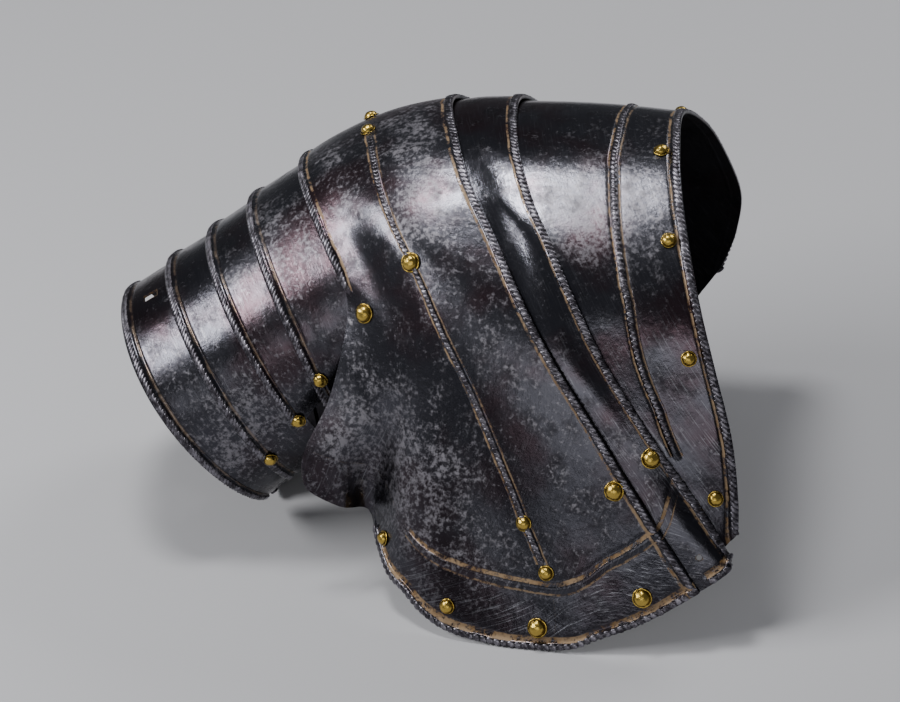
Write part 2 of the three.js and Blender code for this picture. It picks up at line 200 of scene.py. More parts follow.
def add(tree, kind, inputs=None, **settings):
    """Adds a node with its settings, values and links; a node given as a value means its output."""
    node = tree.nodes.new(kind)
    for key, value in settings.items():
        setattr(node, key, value)
    for key, value in (inputs or {}).items():
        if isinstance(value, bpy.types.Node):
            value = next(socket for socket in value.outputs if socket.enabled)
        if isinstance(value, bpy.types.NodeSocket):
            tree.links.new(value, node.inputs[key])
        else:
            node.inputs[key].default_value = value
    return node


def hue(code):
    """sRGB hex to linear colour."""
    parts = [int(code[i:i + 2], 16) / 255 for i in (1, 3, 5)]
    linear = [c / 12.92 if c <= 0.04045 else ((c + 0.055) / 1.055) ** 2.4 for c in parts]
    return (*linear, 1.0)


MATH, RANGE, MIX = "ShaderNodeMath", "ShaderNodeMapRange", "ShaderNodeMix"
SHARE, UNDER, OVER = 0, 6, 7  # sockets of a colour mix: how much, the colour under, the colour over
LINE_FADE = 0.55  # millimetres over which a residue line fades out


def blackened_steel(name):
    """Fire-blacked sheet, burnished: dark mirror, red-brown stains, grey rubbed flecks, and
    ochre wax and rust left in the sunk lines; the insides are painted near black as painted shade."""
    material = bpy.data.materials.new(name)
    material.use_nodes = True
    tree = material.node_tree
    tree.nodes.clear()
    place = add(tree, "ShaderNodeTexCoord").outputs["Object"]
    wrap = add(tree, "ShaderNodeUVMap", uv_map="wrap")
    worn, hidden, brushed, lined, from_edge, from_cord, from_hem, from_trim = [
        add(tree, "ShaderNodeAttribute", attribute_name=key).outputs["Fac"]
        for key in ("worn", "inside", "brushed", "lined",
                    "from_edge", "from_cord", "from_hem", "from_trim")]

    # clouds of 42 mm, blots of 12 mm, flecks of 2.4 mm and pits of 0.7 mm
    clouds = add(tree, "ShaderNodeTexNoise", {"Vector": place, "Scale": 24.0, "Detail": 4.0})
    blots = add(tree, "ShaderNodeTexNoise",
                {"Vector": place, "Scale": 85.0, "Detail": 6.0, "Roughness": 0.62})
    flecks = add(tree, "ShaderNodeTexNoise",
                 {"Vector": place, "Scale": 420.0, "Detail": 6.0, "Roughness": 0.72})
    pits = add(tree, "ShaderNodeTexNoise",
               {"Vector": place, "Scale": 1400.0, "Detail": 3.0, "Roughness": 0.6})
    # rubbing strokes, wider than real ones so that they show: 0.7 mm wide and 17 mm long round
    # the piece, and 0.9 mm wide and 14 mm long where they follow the wing's border
    round_it = add(tree, "ShaderNodeMapping", {"Vector": wrap, "Scale": (1500.0, 60.0, 1.0)})
    strokes = add(tree, "ShaderNodeTexNoise",
                  {"Vector": round_it, "Scale": 1.0, "Detail": 4.0, "Roughness": 0.6})
    along_it = add(tree, "ShaderNodeMapping", {"Vector": wrap, "Scale": (70.0, 1100.0, 1.0)})
    lengthwise = add(tree, "ShaderNodeTexNoise",
                     {"Vector": along_it, "Scale": 1.0, "Detail": 4.0, "Roughness": 0.6})

    # from 70 to 170 mm up, the ground and its stains turn lighter and redder than on the wings
    # lower down
    height = add(tree, "ShaderNodeSeparateXYZ", {"Vector": place}).outputs["Z"]
    high = add(tree, RANGE, {0: height, 1: 0.07, 2: 0.17}, interpolation_type="SMOOTHSTEP")
    ground = add(tree, MIX, {SHARE: high, UNDER: hue("#3e3e44"), OVER: hue("#55555c")},
                 data_type="RGBA")
    stained = add(tree, MIX, {SHARE: high, UNDER: hue("#373035"), OVER: hue("#54444a")},
                  data_type="RGBA")
    stain = add(tree, RANGE, {0: clouds, 1: 0.44, 2: 0.66}, interpolation_type="SMOOTHSTEP")
    colour = add(tree, MIX, {SHARE: stain, UNDER: ground, OVER: stained}, data_type="RGBA")

    blotted = add(tree, RANGE, {0: blots, 1: 0.47, 2: 0.68}, interpolation_type="SMOOTHSTEP")
    share = add(tree, MATH, {0: blotted, 1: 0.62}, operation="MULTIPLY")
    colour = add(tree, MIX, {SHARE: share, UNDER: colour, OVER: hue("#1d1b1f")}, data_type="RGBA")

    rub = add(tree, MATH, {0: blots, 1: 0.42, 2: flecks}, operation="MULTIPLY_ADD")
    rub = add(tree, MATH, {0: worn, 1: 0.13, 2: rub}, operation="MULTIPLY_ADD")
    fleck = add(tree, RANGE, {0: rub, 1: 0.77, 2: 0.99}, interpolation_type="SMOOTHSTEP")
    kept = add(tree, MATH, {0: brushed, 1: -0.5, 2: 1.0}, operation="MULTIPLY_ADD")
    fleck = add(tree, MATH, {0: fleck, 1: kept}, operation="MULTIPLY")
    share = add(tree, MATH, {0: fleck, 1: 0.6}, operation="MULTIPLY")
    colour = add(tree, MIX, {SHARE: share, UNDER: colour, OVER: hue("#a29fa6")}, data_type="RGBA")

    below_line = add(tree, RANGE, {0: from_trim, 1: 4.0, 2: 7.0}, interpolation_type="SMOOTHSTEP")
    has_line = add(tree, RANGE, {0: from_trim, 1: FAR_OFF - 1, 2: FAR_OFF - 4},
                   interpolation_type="SMOOTHSTEP")
    border = add(tree, MATH, {0: below_line, 1: has_line}, operation="MULTIPLY")
    laid = add(tree, MIX, {0: border, 2: strokes, 3: lengthwise}, data_type="FLOAT")
    stroke = add(tree, RANGE, {0: laid, 1: 0.52, 2: 0.72}, interpolation_type="SMOOTHSTEP")
    share = add(tree, MATH, {0: brushed, 1: 0.5, 2: 0.12}, operation="MULTIPLY_ADD")
    share = add(tree, MATH, {0: stroke, 1: share}, operation="MULTIPLY")
    colour = add(tree, MIX, {SHARE: share, UNDER: colour, OVER: hue("#8f9096")}, data_type="RGBA")

    # residue: a wandering, broken line beside each turned edge, cord and border; each row has
    # the distance it follows, its place and half width in millimetres, and its strength
    wander = add(tree, MATH, {0: blots, 1: 2.6, 2: -1.3}, operation="MULTIPLY_ADD")
    lines = 0.0
    for distance, middle, half, strength in [
            (from_edge, LINE_AT, 0.95, lined), (from_cord, -2.6, 0.8, 1.0),
            (from_cord, 2.7, 0.8, 0.75), (from_hem, 5.3, 1.9, 1.0),
            (from_trim, 0.2, 1.35, 1.0), (from_trim, 5.4, 0.7, 0.8)]:
        strayed = add(tree, MATH, {0: distance, 1: wander}, operation="ADD")
        off = add(tree, MATH, {0: strayed, 1: middle}, operation="SUBTRACT")
        off = add(tree, MATH, {0: off}, operation="ABSOLUTE")
        line = add(tree, RANGE, {0: off, 1: half, 2: half - LINE_FADE},
                   interpolation_type="SMOOTHSTEP")
        line = add(tree, MATH, {0: line, 1: strength}, operation="MULTIPLY")
        lines = add(tree, MATH, {0: lines, 1: line}, operation="MAXIMUM")
    crumbs = add(tree, MATH, {0: blots, 1: flecks}, operation="ADD")
    broken = add(tree, RANGE, {0: crumbs, 1: 0.84, 2: 1.08}, interpolation_type="SMOOTHSTEP")
    outer = add(tree, MATH, {0: 1.0, 1: hidden}, operation="SUBTRACT")
    shown = add(tree, MATH, {0: lines, 1: outer}, operation="MULTIPLY")
    residue = add(tree, MATH, {0: shown, 1: broken}, operation="MULTIPLY")
    dry = add(tree, RANGE, {0: blots, 1: 0.4, 2: 0.6}, interpolation_type="SMOOTHSTEP")
    ochre = add(tree, MIX, {SHARE: dry, UNDER: hue("#6e5128"), OVER: hue("#8a7357")},
                data_type="RGBA")
    colour = add(tree, MIX, {SHARE: residue, UNDER: colour, OVER: ochre}, data_type="RGBA")
    # the insides of the sheets are painted near black: painted shade
    share = add(tree, MATH, {0: hidden, 1: 0.8}, operation="MULTIPLY")
    colour = add(tree, MIX, {SHARE: share, UNDER: colour, OVER: hue("#131214")}, data_type="RGBA")

    # a dark mirror that blots, flecks and pits dull, and matt residue and insides
    rough = 0.17
    for cause, weight in [(blotted, 0.12), (fleck, 0.18), (worn, 0.1), (pits, 0.08),
                          (brushed, -0.06)]:
        rough = add(tree, MATH, {0: cause, 1: weight, 2: rough}, operation="MULTIPLY_ADD")
    for cause, least in [(residue, 0.62), (hidden, 0.6)]:
        matt = add(tree, MATH, {0: cause, 1: least}, operation="MULTIPLY")
        rough = add(tree, MATH, {0: rough, 1: matt}, operation="MAXIMUM")
    metal = add(tree, MATH, {0: residue, 1: -0.75, 2: 1.0}, operation="MULTIPLY_ADD")
    relief = 0.0
    for cause, weight in [(flecks, 0.35), (pits, 0.2), (laid, 0.3), (lines, -0.6)]:
        relief = add(tree, MATH, {0: cause, 1: weight, 2: relief}, operation="MULTIPLY_ADD")
    fine = add(tree, "ShaderNodeBump", {"Strength": 0.28, "Distance": 0.0004, "Height": relief})
    beaten = add(tree, "ShaderNodeBump",
                 {"Strength": 0.12, "Distance": 0.003, "Height": blots, "Normal": fine})
    shader = add(tree, "ShaderNodeBsdfPrincipled", {
        "Base Color": colour, "Metallic": metal, "Roughness": rough, "Normal": beaten})
    add(tree, "ShaderNodeOutputMaterial", {"Surface": shader})
    return material


STEEL = blackened_steel("blackened_burnished_steel")


def dress(piece, node):
    """Gives a plate its finish and puts it in the place of its node."""
    piece.data.materials.append(STEEL)
    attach(piece, "root")
    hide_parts(node)


def roping_material():
    """The same steel for the rope strands, mottled in spots of 4 mm from near black to light
    grey: the light spots stand for rubbed metal and partly for a painted highlight where the rolls
    catch the light."""
    material = bpy.data.materials.new("rubbed_and_painted_highlight_strands")
    material.use_nodes = True
    tree = material.node_tree
    tree.nodes.clear()
    place = add(tree, "ShaderNodeTexCoord").outputs["Object"]
    spots = add(tree, "ShaderNodeTexNoise",
                {"Vector": place, "Scale": 260.0, "Detail": 5.0, "Roughness": 0.7})
    # light spots: rubbed metal, and partly a painted highlight on the rolls
    share = add(tree, RANGE, {0: spots, 1: 0.38, 2: 0.66}, interpolation_type="SMOOTHSTEP")
    tint = add(tree, MIX, {SHARE: share, UNDER: hue("#3a373c"), OVER: hue("#85828a")},
               data_type="RGBA")
    bump = add(tree, "ShaderNodeBump", {"Strength": 0.3, "Distance": 0.0004, "Height": spots})
    shader = add(tree, "ShaderNodeBsdfPrincipled", {
        "Base Color": tint, "Metallic": 1.0, "Roughness": 0.36, "Normal": bump})
    add(tree, "ShaderNodeOutputMaterial", {"Surface": shader})
    return material


STRANDS = roping_material()


def roping_tree():
    """Strands laid slantwise along a line: resample it at the pitch and set a strand on each."""
    tree = bpy.data.node_groups.new("roping", "GeometryNodeTree")
    face = tree.interface
    face.new_socket("Line", in_out="INPUT", socket_type="NodeSocketGeometry")
    for label, value in [("Pitch", 0.0025), ("Reach", 0.0024), ("Rise", 0.0008), ("Slant", 0.6)]:
        face.new_socket(label, in_out="INPUT", socket_type="NodeSocketFloat").default_value = value
    face.new_socket("Strands", in_out="OUTPUT", socket_type="NodeSocketGeometry")
    given = add(tree, "NodeGroupInput").outputs
    curve = add(tree, "GeometryNodeMeshToCurve", {"Mesh": given["Line"]})
    even = add(tree, "GeometryNodeResampleCurve",
               {"Curve": curve, "Length": given["Pitch"]}, mode="LENGTH")
    out = add(tree, "GeometryNodeInputNamedAttribute", {"Name": "out"}, data_type="FLOAT_VECTOR")
    stand = add(tree, "FunctionNodeAlignRotationToVector",
                {"Vector": out.outputs["Attribute"]}, axis="Z")
    tangent = add(tree, "GeometryNodeInputTangent")
    lie = add(tree, "FunctionNodeAlignRotationToVector",
              {"Rotation": stand, "Vector": tangent}, axis="X", pivot_axis="Z")
    slant = add(tree, "FunctionNodeAxisAngleToRotation",
                {"Axis": (0.0, 0.0, 1.0), "Angle": given["Slant"]})
    turned = add(tree, "FunctionNodeRotateRotation", {"Rotation": lie, "Rotate By": slant},
                 rotation_space="LOCAL")
    ball = add(tree, "GeometryNodeMeshIcoSphere", {"Radius": 1.0, "Subdivisions": 2})
    half = add(tree, MATH, {0: given["Pitch"], 1: 0.46}, operation="MULTIPLY")
    size = add(tree, "ShaderNodeCombineXYZ",
               {"X": half, "Y": given["Reach"], "Z": given["Rise"]})
    wobble = add(tree, "FunctionNodeRandomValue", {
        "Min": (0.88, 0.88, 0.8), "Max": (1.1, 1.1, 1.2), "Seed": 4}, data_type="FLOAT_VECTOR")
    scale = add(tree, "ShaderNodeVectorMath", {0: size, 1: wobble.outputs[0]},
                operation="MULTIPLY")
    placed = add(tree, "GeometryNodeInstanceOnPoints", {
        "Points": even, "Instance": ball.outputs[0], "Rotation": turned, "Scale": scale})
    real = add(tree, "GeometryNodeRealizeInstances", {0: placed})
    smooth = add(tree, "GeometryNodeSetShadeSmooth", {0: real})
    finish = add(tree, "GeometryNodeSetMaterial", {0: smooth, "Material": STRANDS})
    add(tree, "NodeGroupOutput", {"Strands": finish})
    return tree


ROPING = roping_tree()


def grown(name, start, tree, values):
    """Runs a node tree on an object and keeps the result as a plain mesh object."""
    bpy.context.scene.collection.objects.link(start)
    grower = start.modifiers.new("grow", "NODES")
    grower.node_group = tree
    for item in tree.interface.items_tree:
        if item.in_out == "INPUT" and item.name in values:
            grower[item.identifier] = values[item.name]
    start.update_tag()
    graph = bpy.context.evaluated_depsgraph_get()
    graph.update()
    mesh = bpy.data.meshes.new_from_object(start.evaluated_get(graph))
    mesh.name = name
    piece = bpy.data.objects.new(name, mesh)
    bpy.context.scene.collection.objects.link(piece)
    bpy.data.objects.remove(start)
    return piece


def rope(name, surface, u, v, lift, pitch, reach, rise, slant):
    """Roped strands along places (u, v), raised `lift` above the surface: `pitch` apart, `reach`
    to each side and `rise` high, all in millimetres, and turned by `slant` radians."""
    normal = outward(surface, u, v)
    points = at_rest(surface(u, v) + normal * np.broadcast_to(lift, u.shape)[:, None])
    mesh = bpy.data.meshes.new(name + "_line")
    mesh.from_pydata(points.tolist(), [(i, i + 1) for i in range(len(points) - 1)], [])
    out = mesh.attributes.new("out", "FLOAT_VECTOR", "POINT")
    out.data.foreach_set("vector", (normal @ np.array(REST_TURN).T).astype(np.float32).ravel())
    line = bpy.data.objects.new(name + "_line", mesh)
    piece = grown(name, line, ROPING, {
        "Pitch": pitch / 1000, "Reach": reach / 1000, "Rise": rise / 1000, "Slant": slant})
    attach(piece, "root")
    return piece


def cut_through(piece, cutter, place):
    """Cuts a hole of the cutter's shape in a plate, and takes the cutter away."""
    cutter.data.transform(place)
    cut = piece.modifiers.new("hole", "BOOLEAN")
    cut.object = cutter
    cut.solver = "EXACT"
    graph = bpy.context.evaluated_depsgraph_get()
    sliced = bpy.data.meshes.new_from_object(piece.evaluated_get(graph))
    piece.modifiers.remove(cut)
    piece.data = sliced
    bpy.data.objects.remove(cutter)


def blobs(u, v, spots):
    """Sum of soft spots (u, v, reach in u, reach in v, strength)."""
    total = np.zeros_like(u)
    for u0, v0, du, dv, strength in spots:
        total += strength * np.exp(-(((u - u0) / du) ** 2) - ((v - v0) / dv) ** 2)
    return total


SLOT_U, SLOT_ANGLE = 0.61, -30.0
SLOT_BLOCK = (0.008, 0.014, 0.005)  # length, depth cut through and width, metres
# places rubbed bright: u, angle, reach in u, reach in angle, strength
ARM_WORN = [(1.6, -112, 1.2, 20, 1.0), (0.5, -128, 0.7, 22, 0.9), (3.5, -42, 0.5, 28, 1.0),
            (2.5, -52, 0.4, 12, 0.6), (0.6, -85, 0.5, 14, 0.5), (3.3, 60, 0.8, 40, 0.6)]
ARM_COLUMNS = 241
STRAND_SUNK = 0.25  # how far a rope's middle lies below the top of its roll, millimetres
for name, (edge, end_at_edge, end_hidden) in ARM_LAMES.items():
    tucked = edge + 1 + LAP
    per_unit = reach_along(arm_tube, np.array(edge + 0.02), np.array(0.0))
    edge_u = edge + EDGE_ROWS / per_unit
    rest_u = np.linspace(edge_u[-1], tucked, 16)[1:]
    rows_u = np.concatenate([edge_u, rest_u])
    u = np.repeat(rows_u[:, None], ARM_COLUMNS, 1)
    share = (rows_u - edge) / (tucked - edge)
    stop = end_at_edge + (end_hidden - end_at_edge) * share
    v = np.linspace(-1, 1, ARM_COLUMNS)[None, :] * stop[:, None]
    distance = (u - edge) * per_unit
    sunk = STEP * np.abs(edge - u)
    lame = plate_mesh(name + "_skin", arm_tube, u, v, turned_edge(distance), sunk, {
        "from_edge": distance, "from_cord": FAR_OFF, "from_hem": FAR_OFF, "from_trim": FAR_OFF,
        "worn": blobs(u, v, ARM_WORN), "brushed": 0.15, "lined": 0.4})
    if name == "arm_lame_4":
        # lacing slot, cut with a chisel near the rim, lengthwise
        middle = arm_tube(SLOT_U, SLOT_ANGLE)
        out = Vector(outward(arm_tube, np.array(SLOT_U), np.array(SLOT_ANGLE)))
        ahead, behind = arm_tube(SLOT_U + 0.01, SLOT_ANGLE), arm_tube(SLOT_U - 0.01, SLOT_ANGLE)
        lengthwise = Vector(ahead - behind)
        lengthwise = (lengthwise - out * lengthwise.dot(out)).normalized()
        bpy.ops.mesh.primitive_cube_add(size=1)
        turn = Matrix((lengthwise, out, lengthwise.cross(out))).transposed()
        whole = (REST_TURN @ turn).to_4x4() @ Matrix.Diagonal(SLOT_BLOCK).to_4x4()
        cut_through(lame, bpy.context.object, Matrix.Translation(Vector(at_rest(middle))) @ whole)
    dress(lame, name)
    angles = np.linspace(-1, 1, 400) * (end_at_edge - 0.8)
    middle_u = np.full(400, edge + ROLL_MIDDLE / per_unit)
    lift = ROLL_HEIGHT - STRAND_SUNK - STEP * ROLL_MIDDLE / per_unit
    rope(name + "_roping", arm_tube, middle_u, angles, lift,
         pitch=2.3, reach=2.7, rise=0.48, slant=0.85)

# ---------------------------------------------------------------- main plate
# The big plate over the shoulder: a narrow tab down the arm, a soft fold, and a wide wing.
# It is raised from one sheet, roped on both side edges, embossed with a cord down its
# middle and with a border round the wing, and its wing's bottom edge is turned and roped.
TUBE_TO = 4.35  # the plate follows the arm hoops up to here
# One line of the collar for each station, from the far side to the near one: the angle of the
# arm hoops that it starts from, if it has one, and points (u, x, y, z), millimetres. u is 4 at
# the edge over the arm, 6 at the main plate's neck edge, and 7 and 8 at the neck lames' edges.
COLLAR_LINES = [
    (None, [(4, -56, 78, -150), (4.3, -36, 76, -166), (5, 14, 96, -176), (5.5, 50, 103, -168),
            (6, 84, 103, -141), (7, 102, 99, -119), (8, 117, 94, -100)]),
    (88, [(4.35, -13, 88, -113), (5, 12, 98, -118), (6, 69, 105, -114), (7, 92, 99, -104),
          (8, 121, 92, -92)]),
    (68, [(5, -2, 91, -79), (6, 53, 98, -85), (7, 80, 96, -86), (8, 126, 88, -80)]),
    (52, [(5, -14, 82, -59), (6, 37, 83, -58), (7, 66, 86, -60), (8, 130, 80, -60)]),
    (38, [(5, -25, 66, -40), (6, 22, 67, -36), (7, 53, 71, -40), (8, 127, 62, -39)]),
    (21, [(5, -34, 40, -23), (6, 10, 43, -16), (7, 41, 46, -17), (8, 121, 38, -18)]),
    (0, [(5, -42, 0, -13), (6, -1, 0, -2), (7, 33, 0, -1), (7.5, 73, 0, -2), (8, 116, 0, -6)]),
    (-21, [(5, -34, -40, -23), (6, 10, -43, -16), (7, 41, -46, -17), (8, 121, -38, -18)]),
    (-38, [(5, -25, -66, -40), (6, 22, -67, -36), (7, 53, -71, -40), (8, 127, -62, -39)]),
    (-52, [(5, -14, -82, -59), (6, 37, -83, -58), (7, 66, -86, -60), (8, 135, -80, -67)]),
    (-68, [(5, -2, -91, -79), (6, 53, -98, -85), (7, 80, -96, -86), (8, 142, -89, -92)]),
    (-88, [(4.35, -13, -88, -113), (5, 13, -99, -108), (6, 71, -106, -115), (7, 96, -100, -116),
           (8, 149, -92, -118)]),
    (None, [(4, -47, -80, -140), (4.35, -19, -84, -147), (4.6, 1, -94, -150), (5, 32, -102, -147),
            (6, 96, -107, -154), (7, 121, -102, -154), (8, 158, -93, -153)]),
    (None, [(4, -60, -80, -168), (4.2, -43, -78, -174), (4.35, -26, -70, -179),
            (4.5, -11, -84, -199), (4.7, 9, -96, -214), (5, 62, -103, -226), (5.5, 100, -106, -211),
            (6, 123, -107, -196), (7, 145, -97, -189), (8, 161, -91, -185)]),
    (None, [(4, -63, -76, -182), (4.1, -59, -76, -191), (4.2, -45, -71, -199),
            (4.35, -31, -60, -204), (4.42, -27, -66, -216), (4.5, -19, -78, -230),
            (4.6, -8, -86, -239), (4.7, 2, -91, -248), (4.8, 16, -96, -255), (4.9, 41, -100, -260),
            (5, 61, -102, -261), (5.4, 94, -104, -254), (5.8, 126, -104, -240),
            (6, 144, -103, -229), (7, 158, -93, -213), (8, 160, -89, -204)]),
]
LINES = []
for ring, points in COLLAR_LINES:
    on_tube = [] if ring is None else [u for u in (4, TUBE_TO) if u < points[0][0]]
    whole = [(u, *arm_tube(u, ring)) for u in on_tube] + points
    LINES.append(([p[0] for p in whole], [p[1:] for p in whole]))


def collar(u, station):
    """Point of the collar's carrying surface; a positive station lies on the near side."""
    u, station = np.broadcast_arrays(np.asarray(u, float), np.asarray(station, float))
    lines = np.stack([through(knots, rows, u.ravel()) for knots, rows in LINES], 1)
    chords = np.diff(lines, axis=1)
    slopes = np.empty_like(lines)
    slopes[:, 1:-1] = 0.5 * (chords[:, :-1] + chords[:, 1:])
    slopes[:, 0] = 1.5 * chords[:, 0] - 0.5 * slopes[:, 1]
    slopes[:, -1] = 1.5 * chords[:, -1] - 0.5 * slopes[:, -2]
    place = station.ravel() + 6
    i = np.clip(np.floor(place).astype(int), 0, len(LINES) - 2)
    s = np.clip(place - i, 0, 1)[:, None]
    past = (place - i)[:, None] - s
    each = np.arange(len(place))
    start, end = slopes[each, i], slopes[each, i + 1]
    point = (2 * s**3 - 3 * s**2 + 1) * lines[each, i] + (s**3 - 2 * s**2 + s) * start
    point += (3 * s**2 - 2 * s**3) * lines[each, i + 1] + (s**3 - s**2) * end
    point += past * np.where(past < 0, start, end)
    return point.reshape(u.shape + (3,))


def off_edge(edge, v, distance):
    """u at a signed distance in millimetres from the line u = edge."""
    inner = edge + (0.02 if np.sum(distance) > 0 else -0.02)
    per_unit = reach_along(collar, np.full_like(v, inner), v)
    size = np.minimum(np.abs(distance) / per_unit, np.abs(distance) * 0.15)
    return edge + np.sign(distance) * size


def blend_rows(rows, count):
    """Fills `count` rows between each listed pair of row blocks."""
    blocks = [rows[0]]
    for block, steps in zip(rows[1:], count):
        low, high = blocks[-1][-1], block[0]
        share = np.linspace(0, 1, steps + 2)[1:-1, None]
        blocks += [low + (high - low) * share, block]
    return np.concatenate(blocks)


# Distances from an embossed cord, in millimetres, at which a plate has a row of points.
CORD_ROWS = np.array([-7, -4.6, -3.8, -3.2, -2.7, -2.2, -1.7, -1.2, -0.6, 0, 0.6, 1.2, 1.7, 2.2,
                      2.7, 3.2, 3.8, 4.6, 7])


def cord_u(v):
    """The cord's own line on the main plate."""
    return np.interp(np.abs(v), [0, 0.5, 3.6, 5.3, 6.6, 7], [4.94, 4.97, 5.045, 5.05, 5.035, 5.05])


def soft_ends(v, low, high, fade=0.15):
    """1 between two stations, fading to 0 at both."""
    return np.clip((v - low) / fade, 0, 1) * np.clip((high - v) / fade, 0, 1)


def station_columns(last):
    """Stations of the columns, closer together on the wing's lower part."""
    wing = np.concatenate([np.linspace(5, 7.7, 76)[1:], np.linspace(7.7, last, 16)[1:]])
    return np.concatenate([np.linspace(-6, 5, 250), wing])


TRIM_V = 7.02  # station of the border's upper line on the wing
# rolls, ribs and sunk lines: place, half width, and height or depth, millimetres
HEM_ROLL, HEM_LINE = (2.0, 2.1, 1.1), (5.6, 1.3, 0.3)
HEM_ROPE_IN = 1.7  # the rope's distance from the bottom edge
TRIM_TOP, TRIM_RIB, TRIM_LOW = (0, 1.0, 0.4), (2.8, 2.0, 0.5), (5.4, 0.8, 0.3)
columns = station_columns(8.0)
arm_side = np.stack([off_edge(4, columns, d) for d in EDGE_ROWS])
arm_side[0] = 4.0
cord_per_unit = reach_along(collar, cord_u(columns), columns)
cord_side = np.stack([cord_u(columns) + d / cord_per_unit for d in CORD_ROWS])
neck_side = np.stack([off_edge(6, columns, -d) for d in EDGE_ROWS[::-1]])
neck_side[-1] = 6.0
u = blend_rows([arm_side, cord_side, neck_side], [34, 16])
v = np.repeat(columns[None, :], len(u), 0)
to_arm_edge = (u - 4) * reach_along(collar, np.full_like(v, 4.02), v)
to_neck_edge = (6 - u) * reach_along(collar, np.full_like(v, 5.98), v)
to_cord = (u - cord_u(v)) * np.repeat(cord_per_unit[None, :], len(u), 0)
to_hem = (8 - v) * reach_across(collar, u, np.full_like(v, 7.95))
to_trim = (v - TRIM_V) * reach_across(collar, u, v)
roll_on = np.clip((4.75 - np.abs(v)) / 0.2, 0, 1)
hem_on = np.clip((u - 4.37) / 0.05, 0, 1) * (v > 6)
cord_on = soft_ends(np.abs(v), 0.3, 6.95)
trim_on = np.clip((u - 4.5) / 0.08, 0, 1)
height = turned_edge(to_arm_edge) * roll_on + turned_edge(to_neck_edge)
height += cord_on * (hump(to_cord, 0, 2.1, 1.0) + groove(to_cord, -2.7, 0.8, 0.35)
                     + groove(to_cord, 2.8, 0.8, 0.35))
height = np.maximum(height, hem_on * hump(to_hem, *HEM_ROLL))
height += hem_on * groove(to_hem, *HEM_LINE)
height += trim_on * (groove(to_trim, *TRIM_TOP) + hump(to_trim, *TRIM_RIB)
                     + groove(to_trim, *TRIM_LOW))
# places brushed with strokes and places rubbed bright: u, station, reach in each, strength
MAIN_BRUSHED = [(4.9, 7.5, 0.9, 0.42, 1.0), (5.8, 7.5, 0.6, 0.42, 1.0), (4.35, 6.5, 0.12, 1.2, 0.6)]
MAIN_WORN = [(5.4, 0.2, 0.7, 1.0, 0.8), (4.5, 1.1, 0.3, 1.1, 0.9), (5.5, 0.9, 0.3, 0.9, 0.7),
             (4.62, 6.7, 0.28, 1.2, 1.1), (4.2, 6.4, 0.22, 1.1, 1.0), (5.25, 2.4, 0.4, 1.2, 0.9),
             (4.5, 2.6, 0.4, 1.2, 0.5), (5.5, 5.0, 0.5, 1.4, 0.55), (5.0, -4.5, 0.8, 1.5, 0.7)]
main = plate_mesh("main_plate_skin", collar, u, v, height, np.zeros_like(u), {
    "from_edge": np.minimum(np.where(roll_on > 0.5, to_arm_edge, FAR_OFF), to_neck_edge),
    "from_cord": np.where(cord_on > 0.3, to_cord, np.sign(to_cord) * FAR_OFF),
    "from_hem": np.where(hem_on > 0.5, to_hem, FAR_OFF),
    "from_trim": np.where(trim_on > 0.5, to_trim, np.sign(to_trim) * FAR_OFF),
    "worn": blobs(u, v, MAIN_WORN), "brushed": blobs(u, v, MAIN_BRUSHED),
    "lined": 0.9}, swap=True)
dress(main, "main_plate")

stations = np.linspace(-4.6, 4.6, 500)
rope("main_arm_edge_roping", collar, off_edge(4, stations, np.full(500, ROLL_MIDDLE)), stations,
     ROLL_HEIGHT - STRAND_SUNK, pitch=2.4, reach=2.7, rise=0.48, slant=0.85)
stations = np.linspace(-5.95, 7.85, 900)
rope("main_neck_edge_roping", collar, off_edge(6, stations, np.full(900, -ROLL_MIDDLE)), stations,
     ROLL_HEIGHT - STRAND_SUNK, pitch=2.7, reach=2.9, rise=0.5, slant=-0.9)
for side, low, high in [("near", 0.7, 6.85), ("far", -5.4, -0.5)]:
    stations = np.linspace(low, high, 500)
    rope("main_cord_roping_" + side, collar, cord_u(stations), stations,
         lift=0.78, pitch=2.6, reach=2.0, rise=0.38, slant=-0.85)
hem_u = np.linspace(4.4, 5.96, 500)
hem_v = 8 - HEM_ROPE_IN / reach_across(collar, hem_u, np.full(500, 7.95))
rope("main_hem_roping", collar, hem_u, hem_v,
     lift=0.85, pitch=3.6, reach=2.1, rise=0.4, slant=1.0)

